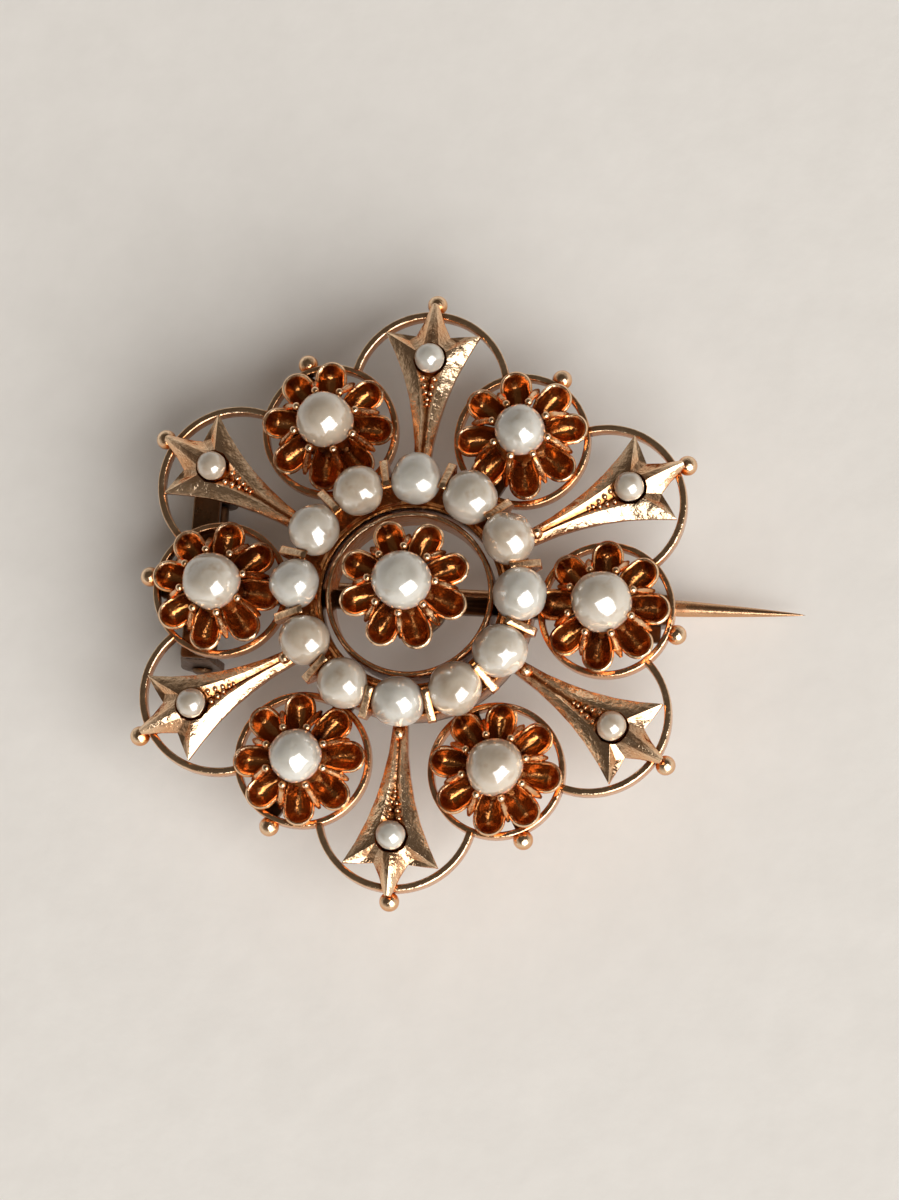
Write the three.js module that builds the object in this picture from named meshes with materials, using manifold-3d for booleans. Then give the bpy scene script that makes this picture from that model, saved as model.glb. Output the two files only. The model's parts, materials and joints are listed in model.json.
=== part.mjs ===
// A pearl star-flower brooch: a raised centre flower, a ring of twelve pearls, six outer flowers and six
// trumpet arms on an open gold frame, with a hinged pin stem and a C-catch behind.
// Millimetres. The origin is the middle of the frame's flat back, +Z comes out of the front of the brooch,
// and +X runs along the pin to its point. Outer flowers stand at 0, 60 .. 300 degrees, with the arms half
// way between.
import * as THREE from 'three';
import { mergeVertices } from 'three/addons/utils/BufferGeometryUtils.js';
import Module from 'manifold-3d';

const wasm = await Module();
wasm.setup();

// ---- driving dimensions ----

const ARMS = 6;
const PETALS = 8;
const SOLDER_GAP = 0.02;
const JOIN_OVERLAP = 0.1;
const CUT_OVERRUN = 0.05;

// frame on the back: a flat ring with a spoke out to each flower, and a bar across it whose hub stands
// a little proud
const FRAME_THICK = 0.5;
const FRAME_RING_IN = 4.0;
const FRAME_RING_OUT = 5.35;
const HUB_PROUD = 0.08;
const HUB_R = 1.5;
const SPOKE_WIDTH = 0.8;
const SPOKE_R = 11.45;
const FLOWER_PAD_R = 1.15;
const DECK_Z = FRAME_THICK + SOLDER_GAP;

// outer flowers, one value each for 0, 60 .. 300 degrees where the hand-made flowers differ
const FLOWER_R = 8.55;
const FLOWER_LEAN_DEG = [-2, 3, 2, 4, 5, 4];
const FLOWER_TWIST_DEG = [0, -6, 14, -8, -12, 10];
const FLOWER_BEAD_DEG = [-16, 2, -7, -8, 7, -5];
const FLOWER_PEARL_R = [1.36, 1.14, 1.27, 1.3, 1.22, 1.29];
const FLOWER_RING_IN = 2.72;
const FLOWER_RING_OUT = 3.02;
const FLOWER_RING_TOP = 1.26;
const BEAD_R = 0.45;
const FLOWER_BEAD_AT = 3.28;

// coronet settings, measured up from the frame
const FOOT_R = 0.95;
const FOOT_LIFT = 0.12;
const FOOT_HEIGHT = 0.33;
const CUP_UNDERSIDE = 0.1;
const SEAT_R = 0.8;
const SEAT_HEIGHT = 0.84;
const RIM_R = 2.95;
const RIM_EDGE = 0.06;
const RIM_DEPTH = 0.24;
const RIM_HEIGHT = 1.5;
const SCOOP_R = 2.3;
const SCOOP_HEIGHT = 1.0;
const NOTCH_R = 1.75;
const NOTCH_HEIGHT = 1.4;
const NOTCH_DEPTH = 0.45;
const NOTCH_SHARPNESS = 4;
const PRONG_GAP = 0.05;
const PRONG_HEIGHT = 2.5;
const PRONG_BEVEL = 0.4;
const PRONG_THICK = 0.1;
const PEARL_HEIGHT = 2.37;

// centre flower
const CENTRE_LIFT = 2.4;
const CENTRE_PEARL_R = 1.34;
const CENTRE_RING_IN = 3.45;
const CENTRE_RING_OUT = 3.72;
const CENTRE_RING_TOP = 2.4;

// ring of twelve pearls
const RING_PEARLS = 12;
const RING_PEARL_AT = 4.95;
const RING_PEARL_R = 1.165;
const RING_PEARL_GROWTH = 0.045;
const RING_PEARL_Z = 3.27;
const GALLERY_IN = 3.95;
const GALLERY_OUT = 5.4;
const GALLERY_TOP = 1.98;
const GALLERY_WALL = 0.25;
const GALLERY_PLATE = 0.3;
const PEG_R = 0.35;
const CLAW_TIP_R = 4.8;
const CLAW_TIP_Z = 3.8;
const CLAW_TIP_THICK = 0.2;
const CLAW_THROAT_R = 5.15;
const CLAW_TIP_HALF = 0.06;
const CLAW_WIDE_R = 5.38;
const CLAW_HALF = 0.17;
const CLAW_BACK_R = 6.05;
const CLAW_BACK_Z = 3.25;
const CLAW_BACK_THICK = 0.5;
const CLAW_ROOT = 0.2;

// trumpet arms
const ARM_BOTTOM = 1.31;
const ARM_THICK = 0.42;
const ARM_TIP_R = 13.36;
const GROOVE_FROM = 6.6;
const GROOVE_TO = 10.2;
const GROOVE_DEPTH = 0.16;
const GROOVE_HALF_WIDTH = 0.24;
const ROOT_BEAD_R = 0.3;
const ROOT_BEAD_AT = 6.15;
const ROOT_BEAD_Z = 1.95;
const SEED_AT = 10.7;
const SEED_R = 0.66;
const SEED_POCKET_GAP = 0.03;
const SEED_Z = 2.16;
const SPIKE_FROM = 11.3;
const SPIKE_RIDGE = 0.3;
const SPIKE_HALF_WIDTH = 0.5;

// arc wires round the arms
const LOOP_AT = 9.45;
const LOOP_R = 3.42;
const LOOP_WIRE = 0.36;
const LOOP_TOP = 1.28;
const LOOP_HALF_SPAN = 1.55;
const LOOP_BEAD_AT = 13.42;

// pin fittings behind the frame, soldered to the backs of two spokes
const FITTING_TOP = HUB_PROUD - SOLDER_GAP;
const PIN_Y = 1.0;
const PIN_Z = -2.55;
const PIN_R = 0.38;
const PIN_TIP_X = 17.0;
const PIN_ROOT_GAP = 0.05;
const PIN_TAPER = [[5.4, 1], [2.6, 0.74], [1.1, 0.42]];
const HINGE_X = -9.7;
const HINGE_HALF_SPAN = 3.9;
const HINGE_PLATE_WIDTH = 1.2;
const HINGE_PLATE_THICK = 0.45;
const EAR_THICK = 0.35;
const EAR_R = 0.97;
const EAR_TOP = -0.2;
const TBAR_R = 0.58;
const TBAR_BORE_R = 0.3;
const TBAR_END_GAP = 0.05;
const RIVET_R = 0.26;
const RIVET_HEAD_R = 0.46;
const RIVET_HEAD_FLAT_R = 0.32;
const RIVET_HEAD = 0.22;
const RIVET_END_GAP = 0.03;
const CATCH_X = 10.2;
const CATCH_LENGTH = 1.4;
const CATCH_IN_R = 0.62;
const CATCH_THICK = 0.35;
const CATCH_MOUTH_DEG = -40;
const CATCH_LEG_TOP = -0.1;
const CATCH_FOOT = 1.5;
const CATCH_FOOT_THICK = 0.3;

// ---- solids ----

const bare = (geometry) => {
  const copy = geometry.clone();
  copy.deleteAttribute('normal');
  copy.deleteAttribute('uv');
  return mergeVertices(copy, 1e-5);
};

const solid = (geometry) => {
  const merged = bare(geometry);
  const vertProperties = new Float32Array(merged.attributes.position.array);
  const triVerts = new Uint32Array(merged.index.array);
  return new wasm.Manifold(new wasm.Mesh({ numProp: 3, vertProperties, triVerts }));
};

const geometryOf = (manifold) => {
  const { vertProperties, triVerts } = manifold.getMesh();
  const geometry = new THREE.BufferGeometry();
  geometry.setAttribute('position', new THREE.BufferAttribute(new Float32Array(vertProperties), 3));
  geometry.setIndex(new THREE.BufferAttribute(new Uint32Array(triVerts), 1));
  return geometry;
};

const join = (first, ...rest) => geometryOf(rest.reduce((sum, g) => sum.add(solid(g)), solid(first)));

const cut = (first, ...tools) => geometryOf(tools.reduce((left, g) => left.subtract(solid(g)), solid(first)));

const common = (first, second) => geometryOf(solid(first).intersect(solid(second)));

const radians = THREE.MathUtils.degToRad;

// A profile of [radius, height] points that starts and ends on the Z axis, or closes on itself.
const turned = (profile, segments) => {
  const points = profile.map(([r, z]) => new THREE.Vector2(r, z));
  return new THREE.LatheGeometry(points, segments).rotateX(Math.PI / 2);
};

const disc = (radius, bottom, top, segments) =>
  turned([[0, bottom], [radius, bottom], [radius, top], [0, top]], segments);

const band = (inner, outer, bottom, top, segments) =>
  turned([[inner, bottom], [outer, bottom], [outer, top], [inner, top], [inner, bottom]], segments);

const BALL_AROUND = 10;

const ball = (radius, x, y, z, down = 6) =>
  new THREE.SphereGeometry(radius, BALL_AROUND, down).rotateX(Math.PI / 2).translate(x, y, z);

// An outline of [x, y] points, raised from bottom to top.
const slab = (outline, bottom, top) => {
  const shape = new THREE.Shape(outline.map(([x, y]) => new THREE.Vector2(x, y)));
  const options = { depth: top - bottom, bevelEnabled: false };
  return new THREE.ExtrudeGeometry(shape, options).translate(0, 0, bottom);
};

// An outline of [x, z] points, carried along Y from y to y + length.
const rail = (outline, y, length) => {
  const shape = new THREE.Shape(outline.map(([x, z]) => new THREE.Vector2(x, z)));
  const options = { depth: length, bevelEnabled: false };
  return new THREE.ExtrudeGeometry(shape, options).rotateX(Math.PI / 2).translate(0, y + length, 0);
};

// An outline of [y, z] points, carried along X from x to x + length.
const beam = (outline, x, length) => {
  const shape = new THREE.Shape(outline.map(([y, z]) => new THREE.Vector2(y, z)));
  const options = { depth: length, bevelEnabled: false };
  const turn = new THREE.Matrix4().makeBasis(
    new THREE.Vector3(0, 1, 0),
    new THREE.Vector3(0, 0, 1),
    new THREE.Vector3(1, 0, 0),
  );
  return new THREE.ExtrudeGeometry(shape, options).applyMatrix4(turn).translate(x, 0, 0);
};

// Points along an arc about [cx, cy], both ends included.
const arc = (cx, cy, radius, from, to, steps) =>
  Array.from({ length: steps + 1 }, (_, i) => {
    const angle = from + ((to - from) * i) / steps;
    return [cx + radius * Math.cos(angle), cy + radius * Math.sin(angle)];
  });

// ---- the model ----

const brooch = new THREE.Group();

const finish = (colour, roughness, metalness) => () =>
  new THREE.MeshStandardMaterial({ color: colour, roughness, metalness });

const gold = finish('#c88d58', 0.25, 1);
const darkGold = finish('#9a6238', 0.35, 1);
const pearl = finish('#ebe3d3', 0.3, 0);

const place = (parent, name, geometry, material) => {
  const mesh = new THREE.Mesh(geometry, material());
  mesh.name = name;
  parent.add(mesh);
  return mesh;
};

const turnedGroup = (parent, degrees) => {
  const group = new THREE.Group();
  group.rotation.z = radians(degrees);
  parent.add(group);
  return group;
};

// ---- frame ----

const backSpider = () => {
  const half = SPOKE_WIDTH / 2;
  const bar = (from, to) =>
    slab([[from, -half], [to, -half], [to, half], [from, half]], HUB_PROUD, FRAME_THICK);
  const middle = (FRAME_RING_IN + FRAME_RING_OUT) / 2;
  const parts = [band(FRAME_RING_IN, FRAME_RING_OUT, HUB_PROUD, FRAME_THICK, 36), bar(-middle, middle)];
  for (let i = 0; i < ARMS; i += 1) {
    const pad = disc(FLOWER_PAD_R, HUB_PROUD, FRAME_THICK, 16).translate(FLOWER_R, 0, 0);
    const turn = radians((360 / ARMS) * i);
    parts.push(bar(middle, SPOKE_R).rotateZ(turn), pad.rotateZ(turn));
  }
  return join(disc(HUB_R, 0, FRAME_THICK, 24), ...parts);
};

place(brooch, 'back_spider', backSpider(), darkGold);

// ---- coronet settings ----

// Each ring of points is [radius, height] at the middle of a petal and the same at the notch beside it.
const coronet = (pearlR, lift, footLift) => {
  const prongR = pearlR + PRONG_GAP;
  const waist = Math.max(footLift + FOOT_HEIGHT, lift + CUP_UNDERSIDE);
  const seat = lift + SEAT_HEIGHT;
  const rim = lift + RIM_HEIGHT;
  const notch = lift + NOTCH_HEIGHT;
  const scoop = lift + SCOOP_HEIGHT;
  const prong = lift + PRONG_HEIGHT;
  const rings = [
    [[0, footLift], [0, footLift]],
    [[FOOT_R, footLift], [FOOT_R, footLift]],
    [[FOOT_R, waist], [FOOT_R, waist]],
    [[RIM_R - RIM_EDGE, rim - RIM_DEPTH], [NOTCH_R - RIM_EDGE / 2, notch - NOTCH_DEPTH]],
    [[RIM_R, rim], [NOTCH_R, notch]],
    [[SCOOP_R, scoop], [(NOTCH_R + prongR + PRONG_THICK) / 2, (notch + prong) / 2]],
    [[prongR + PRONG_THICK, scoop], [prongR + PRONG_THICK, prong]],
    [[(prongR + SEAT_R) / 2, seat], [prongR, prong - PRONG_BEVEL]],
    [[SEAT_R, seat], [SEAT_R, seat]],
    [[0, seat], [0, seat]],
  ];
  const geometry = turned(rings.map(([petal]) => petal), PETALS * 4);
  const position = geometry.attributes.position;
  for (let i = 0; i < position.count; i += 1) {
    const [[petalR, petalZ], [notchR, notchZ]] = rings[i % rings.length];
    const angle = Math.atan2(position.getY(i), position.getX(i));
    const towardNotch = Math.sin((angle * PETALS) / 2) ** NOTCH_SHARPNESS;
    const radius = THREE.MathUtils.lerp(petalR, notchR, towardNotch);
    const height = THREE.MathUtils.lerp(petalZ, notchZ, towardNotch);
    if (petalR > 0) {
      position.setXYZ(i, radius * Math.cos(angle), radius * Math.sin(angle), height);
    }
  }
  return bare(geometry);
};

const flowerRing = (beadDegrees) => {
  const bead = ball(BEAD_R, FLOWER_BEAD_AT, 0, (DECK_Z + FLOWER_RING_TOP) / 2);
  return join(
    band(FLOWER_RING_IN, FLOWER_RING_OUT, DECK_Z, FLOWER_RING_TOP, 32),
    bead.rotateZ(radians(beadDegrees)),
  );
};

for (let i = 0; i < ARMS; i += 1) {
  const stand = turnedGroup(brooch, (360 / ARMS) * i);
  const ring = flowerRing(FLOWER_BEAD_DEG[i]).translate(FLOWER_R, 0, 0);
  place(stand, `flower_ring_${i + 1}`, ring, gold);
  const flower = new THREE.Group();
  flower.position.set(FLOWER_R, 0, FRAME_THICK);
  flower.rotation.y = radians(FLOWER_LEAN_DEG[i]);
  stand.add(flower);
  const cup = place(flower, `flower_coronet_${i + 1}`, coronet(FLOWER_PEARL_R[i], 0, FOOT_LIFT), gold);
  cup.rotation.z = radians(FLOWER_TWIST_DEG[i]);
  place(flower, `flower_pearl_${i + 1}`, ball(FLOWER_PEARL_R[i], 0, 0, PEARL_HEIGHT, 7), pearl);
}

// ---- centre flower ----

const centre = turnedGroup(brooch, 180 / PETALS);
centre.position.z = FRAME_THICK;
place(centre, 'centre_coronet', coronet(CENTRE_PEARL_R, CENTRE_LIFT, SOLDER_GAP), gold);
place(centre, 'centre_pearl', ball(CENTRE_PEARL_R, 0, 0, CENTRE_LIFT + PEARL_HEIGHT, 7), pearl);
const centreRing = band(CENTRE_RING_IN, CENTRE_RING_OUT, DECK_Z, CENTRE_RING_TOP, 36);
place(brooch, 'centre_ring_wire', centreRing, gold);

// ---- ring of pearls ----

// One wedge claw. Its side view, in X and Z, stands on the gallery's outer edge and leans out over it; its
// plan narrows inward between two pearls.
const claw = () => {
  const side = [
    [GALLERY_OUT - CLAW_ROOT, GALLERY_TOP - CLAW_ROOT],
    [GALLERY_OUT - SOLDER_GAP, GALLERY_TOP - CLAW_ROOT],
    [CLAW_BACK_R, CLAW_BACK_Z - CLAW_BACK_THICK],
    [CLAW_BACK_R, CLAW_BACK_Z],
    [CLAW_WIDE_R, CLAW_TIP_Z],
    [CLAW_TIP_R, CLAW_TIP_Z],
    [CLAW_TIP_R, CLAW_TIP_Z - CLAW_TIP_THICK],
    [CLAW_THROAT_R, RING_PEARL_Z],
    [CLAW_WIDE_R, GALLERY_TOP + CLAW_ROOT / 2],
  ];
  const plan = [
    [CLAW_TIP_R, -CLAW_TIP_HALF],
    [CLAW_WIDE_R, -CLAW_HALF],
    [CLAW_BACK_R, -CLAW_HALF],
    [CLAW_BACK_R, CLAW_HALF],
    [CLAW_WIDE_R, CLAW_HALF],
    [CLAW_TIP_R, CLAW_TIP_HALF],
  ];
  return common(rail(side, -CLAW_HALF, 2 * CLAW_HALF), slab(plan, 0, CLAW_TIP_Z));
};

const pearlGallery = () => {
  const plateBottom = GALLERY_TOP - GALLERY_PLATE;
  const channel = turned(
    [
      [GALLERY_IN, DECK_Z],
      [GALLERY_IN + GALLERY_WALL, DECK_Z],
      [GALLERY_IN + GALLERY_WALL, plateBottom],
      [GALLERY_OUT - GALLERY_WALL, plateBottom],
      [GALLERY_OUT - GALLERY_WALL, DECK_Z],
      [GALLERY_OUT, DECK_Z],
      [GALLERY_OUT, GALLERY_TOP],
      [GALLERY_IN, GALLERY_TOP],
      [GALLERY_IN, DECK_Z],
    ],
    48,
  );
  const pegTop = RING_PEARL_Z - RING_PEARL_R - RING_PEARL_GROWTH - SOLDER_GAP;
  const parts = [];
  for (let i = 0; i < RING_PEARLS; i += 1) {
    const step = 360 / RING_PEARLS;
    const peg = disc(PEG_R, plateBottom, pegTop, 12).translate(RING_PEARL_AT, 0, 0);
    parts.push(claw().rotateZ(radians(step * (i + 0.5))), peg.rotateZ(radians(step * i)));
  }
  return join(channel, ...parts);
};

place(brooch, 'pearl_gallery', pearlGallery(), gold);

for (let i = 0; i < RING_PEARLS; i += 1) {
  const degrees = (360 / RING_PEARLS) * i;
  const radius = RING_PEARL_R + RING_PEARL_GROWTH * Math.cos(radians(degrees));
  const stand = turnedGroup(brooch, degrees);
  place(stand, `ring_pearl_${i + 1}`, ball(radius, RING_PEARL_AT, 0, RING_PEARL_Z, 7), pearl);
}

// ---- trumpet arms ----

// One side of the arm's outline, as distance from the brooch's middle and half width.
const ARM_HALF_OUTLINE = [
  [5.46, 0.33],
  [7.0, 0.45],
  [8.0, 0.62],
  [9.0, 0.86],
  [10.0, 1.2],
  [11.0, 1.66],
  [11.95, 2.14],
  [11.84, 0.76],
  [12.45, 0.46],
  [13.32, 0.15],
];

const arm = () => {
  const nearSide = ARM_HALF_OUTLINE.map(([x, y]) => [x, -y]);
  const farSide = [...ARM_HALF_OUTLINE].reverse();
  const top = ARM_BOTTOM + ARM_THICK;
  const plate = slab([...nearSide, ...farSide], ARM_BOTTOM, top);
  const sunk = top - JOIN_OVERLAP;
  const ridge = [[-SPIKE_HALF_WIDTH, sunk], [SPIKE_HALF_WIDTH, sunk], [0, top + SPIKE_RIDGE]];
  const spike = beam(ridge, SPIKE_FROM, ARM_TIP_R - SPIKE_FROM);
  const rootBead = ball(ROOT_BEAD_R, ROOT_BEAD_AT, 0, ROOT_BEAD_Z);
  const over = top + CUT_OVERRUN;
  const vee = [[-GROOVE_HALF_WIDTH, over], [0, top - GROOVE_DEPTH], [GROOVE_HALF_WIDTH, over]];
  const groove = beam(vee, GROOVE_FROM, GROOVE_TO - GROOVE_FROM);
  const pocket = ball(SEED_R + SEED_POCKET_GAP, SEED_AT, 0, SEED_Z);
  return cut(join(plate, spike, rootBead), groove, pocket);
};

const loopWithBead = () => {
  const half = LOOP_WIRE / 2;
  const outer = arc(LOOP_AT, 0, LOOP_R + half, -LOOP_HALF_SPAN, LOOP_HALF_SPAN, 18);
  const inner = arc(LOOP_AT, 0, LOOP_R - half, LOOP_HALF_SPAN, -LOOP_HALF_SPAN, 18);
  const wire = slab([...outer, ...inner], DECK_Z, LOOP_TOP);
  const bead = ball(BEAD_R, LOOP_BEAD_AT, 0, ARM_BOTTOM - BEAD_R - SOLDER_GAP);
  const sides = [-1, 1].map((side) =>
    disc(FLOWER_RING_OUT + SOLDER_GAP, 0, ARM_BOTTOM, 32)
      .translate(FLOWER_R, 0, 0)
      .rotateZ(radians((side * 180) / ARMS)),
  );
  return cut(join(wire, bead), ...sides);
};

for (let i = 0; i < ARMS; i += 1) {
  const stand = turnedGroup(brooch, (360 / ARMS) * (i + 0.5));
  place(stand, `arm_${i + 1}`, arm(), gold);
  place(stand, `seed_pearl_${i + 1}`, ball(SEED_R, SEED_AT, 0, SEED_Z), pearl);
  place(stand, `loop_wire_${i + 1}`, loopWithBead(), gold);
}

// ---- hinge ----

const hingePlate = () => {
  const half = HINGE_PLATE_WIDTH / 2;
  const outline = [
    [HINGE_X - half, PIN_Y - HINGE_HALF_SPAN],
    [HINGE_X + half, PIN_Y - HINGE_HALF_SPAN],
    [HINGE_X + half, PIN_Y + HINGE_HALF_SPAN],
    [HINGE_X - half, PIN_Y + HINGE_HALF_SPAN],
  ];
  const plate = slab(outline, FITTING_TOP - HINGE_PLATE_THICK, FITTING_TOP);
  const earSide = [
    [HINGE_X - EAR_R, PIN_Z],
    ...arc(HINGE_X, PIN_Z, EAR_R, Math.PI, 2 * Math.PI, 8).slice(1),
    [HINGE_X + half, EAR_TOP],
    [HINGE_X - half, EAR_TOP],
  ];
  const holeSide = arc(HINGE_X, PIN_Z, RIVET_R + SOLDER_GAP, 0, 2 * Math.PI, 12).slice(0, -1);
  const ears = [PIN_Y - HINGE_HALF_SPAN, PIN_Y + HINGE_HALF_SPAN - EAR_THICK];
  const raised = join(plate, ...ears.map((y) => rail(earSide, y, EAR_THICK)));
  const holeLength = EAR_THICK + 2 * CUT_OVERRUN;
  return cut(raised, ...ears.map((y) => rail(holeSide, y - CUT_OVERRUN, holeLength)));
};

const alongY = (geometry) => geometry.rotateX(-Math.PI / 2).translate(HINGE_X, PIN_Y, PIN_Z);

const tBar = () => {
  const half = HINGE_HALF_SPAN - EAR_THICK - TBAR_END_GAP;
  return alongY(band(TBAR_BORE_R, TBAR_R, -half, half, 14));
};

const rivet = () => {
  const half = HINGE_HALF_SPAN + RIVET_END_GAP;
  return alongY(
    turned(
      [
        [0, -half - RIVET_HEAD],
        [RIVET_HEAD_FLAT_R, -half - RIVET_HEAD],
        [RIVET_HEAD_R, -half],
        [RIVET_R, -half],
        [RIVET_R, half],
        [RIVET_HEAD_R, half],
        [RIVET_HEAD_FLAT_R, half + RIVET_HEAD],
        [0, half + RIVET_HEAD],
      ],
      12,
    ),
  );
};

// The stem is even for most of its length, then thins to a point.
const pinStem = () => {
  const rootX = HINGE_X + TBAR_R + PIN_ROOT_GAP;
  const length = PIN_TIP_X - rootX;
  const taper = PIN_TAPER.map(([fromPoint, share]) => [PIN_R * share, length - fromPoint]);
  const profile = [[0, 0], [PIN_R, 0], ...taper, [0, length]];
  return turned(profile, 12).rotateY(Math.PI / 2).translate(rootX, PIN_Y, PIN_Z);
};

place(brooch, 'hinge_plate', hingePlate(), darkGold);
place(brooch, 'hinge_rivet', rivet(), darkGold);
place(brooch, 'pin_t_bar', tBar(), darkGold);
place(brooch, 'pin_stem', pinStem(), darkGold);

// ---- catch ----

// A strip bent to a C: its leg stands on one side of the stem and the hook passes under it.
const pinCatch = () => {
  const outer = CATCH_IN_R + CATCH_THICK;
  const mouth = 2 * Math.PI + radians(CATCH_MOUTH_DEG);
  const section = [
    [PIN_Y - CATCH_IN_R, CATCH_LEG_TOP],
    [PIN_Y - outer, CATCH_LEG_TOP],
    ...arc(PIN_Y, PIN_Z, outer, Math.PI, mouth, 12),
    ...arc(PIN_Y, PIN_Z, CATCH_IN_R, mouth, Math.PI, 12),
  ];
  const start = CATCH_X - CATCH_LENGTH / 2;
  const foot = slab(
    [
      [start, PIN_Y - CATCH_IN_R - CATCH_FOOT],
      [start + CATCH_LENGTH, PIN_Y - CATCH_IN_R - CATCH_FOOT],
      [start + CATCH_LENGTH, PIN_Y - CATCH_IN_R],
      [start, PIN_Y - CATCH_IN_R],
    ],
    FITTING_TOP - CATCH_FOOT_THICK,
    FITTING_TOP,
  );
  return join(beam(section, start, CATCH_LENGTH), foot);
};

place(brooch, 'pin_catch', pinCatch(), darkGold);

export default brooch;
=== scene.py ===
"""A pearl star-flower brooch, finished for looks.

Shapes are worked out in millimetres and turned to metres when a piece is made. Every piece stands for one
node of the frame and rides on that node's body.
"""
import json
import math

import bmesh
import bpy
from mathutils import Matrix, Vector, noise
from mathutils.bvhtree import BVHTree


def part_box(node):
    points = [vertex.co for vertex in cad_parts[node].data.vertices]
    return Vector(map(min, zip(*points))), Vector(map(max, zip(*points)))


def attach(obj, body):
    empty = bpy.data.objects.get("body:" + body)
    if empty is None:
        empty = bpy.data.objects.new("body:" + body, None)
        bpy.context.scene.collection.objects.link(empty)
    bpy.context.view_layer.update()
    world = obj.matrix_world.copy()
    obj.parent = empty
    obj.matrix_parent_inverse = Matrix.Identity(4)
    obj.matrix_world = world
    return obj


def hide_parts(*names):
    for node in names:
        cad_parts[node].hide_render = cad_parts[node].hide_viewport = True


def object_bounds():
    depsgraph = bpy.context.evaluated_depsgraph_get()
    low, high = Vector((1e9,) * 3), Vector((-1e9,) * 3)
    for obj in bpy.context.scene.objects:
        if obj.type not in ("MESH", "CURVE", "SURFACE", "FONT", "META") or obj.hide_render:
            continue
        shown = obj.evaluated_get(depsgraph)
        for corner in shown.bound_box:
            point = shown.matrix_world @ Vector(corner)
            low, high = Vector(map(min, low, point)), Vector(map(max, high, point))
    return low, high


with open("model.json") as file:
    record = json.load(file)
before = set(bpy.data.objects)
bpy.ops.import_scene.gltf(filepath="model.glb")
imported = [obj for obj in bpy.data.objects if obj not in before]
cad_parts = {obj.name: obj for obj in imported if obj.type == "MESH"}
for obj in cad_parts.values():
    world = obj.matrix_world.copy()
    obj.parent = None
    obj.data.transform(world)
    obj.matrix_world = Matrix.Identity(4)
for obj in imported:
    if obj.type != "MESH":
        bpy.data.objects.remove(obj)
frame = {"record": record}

CAD_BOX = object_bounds()
METRES = 0.001

# ---- sizes in millimetres, the same as the frame's ----

ARMS = 6
PETALS = 8
FRAME_TOP = 0.5
FRAME_RING_IN = 4.0
FRAME_RING_OUT = 5.35
HUB_PROUD = 0.08
HUB_R = 1.5
SPOKE_HALF = 0.4
SPOKE_R = 11.45
PAD_R = 1.15
DECK_Z = 0.52

FLOWER_R = 8.55
FLOWER_LEAN_DEG = [-2, 3, 2, 4, 5, 4]
FLOWER_TWIST_DEG = [0, -6, 14, -8, -12, 10]
FLOWER_BEAD_DEG = [-16, 2, -7, -8, 7, -5]
RING_IN = 2.74
RING_OUT = 3.02
RING_TOP = 1.26
BEAD_R = 0.44
BEAD_AT = 3.27

CENTRE_LIFT = 2.4
CENTRE_RING_IN = 3.46
CENTRE_RING_OUT = 3.71
CENTRE_RING_TOP = 2.4

RING_PEARLS = 12
GALLERY_IN = 3.95
GALLERY_OUT = 5.4
GALLERY_TOP = 1.98
GALLERY_WALL = 0.25
GALLERY_PLATE = 0.3
PEG_TOP = 2.1
RING_PEARL_AT = 4.95
RING_PEARL_Z = 3.27
RING_PEARL_ROOM = 1.22
CLAW_HALF = 0.18
CLAW_LEAST_HALF = 0.05
CLAW_CROWN = 0.04

ARM_BOTTOM = 1.31
SEED_AT = 10.7
COLLAR_R = 0.76
POCKET_R = 0.6

LOOP_AT = 9.45
LOOP_R = 3.42
LOOP_HALF = 0.16
LOOP_TOP = 1.28
LOOP_BEAD_AT = 13.42

PIN_Y = 1.0
PIN_Z = -2.55
STEM_R = 0.36
STEM_TAPER = 5.4
STEM_FULLNESS = 0.72
HINGE_X = -9.7
HINGE_HALF_SPAN = 3.9
HINGE_PLATE_HALF = 0.6
HINGE_PLATE_THICK = 0.45
EAR_THICK = 0.35
EAR_R = 0.97
EAR_HOLE_R = 0.285
RIVET_R = 0.26
RIVET_OVERHANG = 0.02
TBAR_R = 0.58
TBAR_BORE_R = 0.3
TBAR_END_GAP = 0.05
CATCH_X = 10.2
CATCH_LENGTH = 1.4
CATCH_IN_R = 0.62
CATCH_OUT_R = 0.96
CATCH_FOOT_THICK = 0.3
CATCH_BEND = 0.12
CATCH_LIP_DEG = 314
FITTING_TOP = 0.06

BODY_OF = {node: body for body, nodes in frame["record"]["behaviour"]["bodies"].items() for node in nodes}


# ---- shapes ----

class Shape:
    """Points in millimetres and the faces between them."""

    def __init__(self):
        self.points = []
        self.faces = []

    def add(self, points, faces):
        start = len(self.points)
        self.points += [Vector(p) for p in points]
        self.faces += [[start + i for i in face] for face in faces]
        return self

    def join(self, other, matrix=None):
        points = [matrix @ p for p in other.points] if matrix else other.points
        return self.add(points, other.faces)

    def moved(self, matrix):
        return Shape().join(self, matrix)


def turn(degrees, axis="Z"):
    return Matrix.Rotation(math.radians(degrees), 4, axis)


def shift(x, y, z):
    return Matrix.Translation((x, y, z))


def loft(rings, closed=False):
    """Skins a run of equal rings of points; open ends get a flat cap."""
    size = len(rings[0])
    faces = []
    for a in range(len(rings) if closed else len(rings) - 1):
        b = (a + 1) % len(rings)
        for i in range(size):
            j = (i + 1) % size
            faces.append([a * size + i, a * size + j, b * size + j, b * size + i])
    if not closed:
        faces.append(list(range(size))[::-1])
        faces.append([(len(rings) - 1) * size + i for i in range(size)])
    return Shape().add([p for ring in rings for p in ring], faces)


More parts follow.
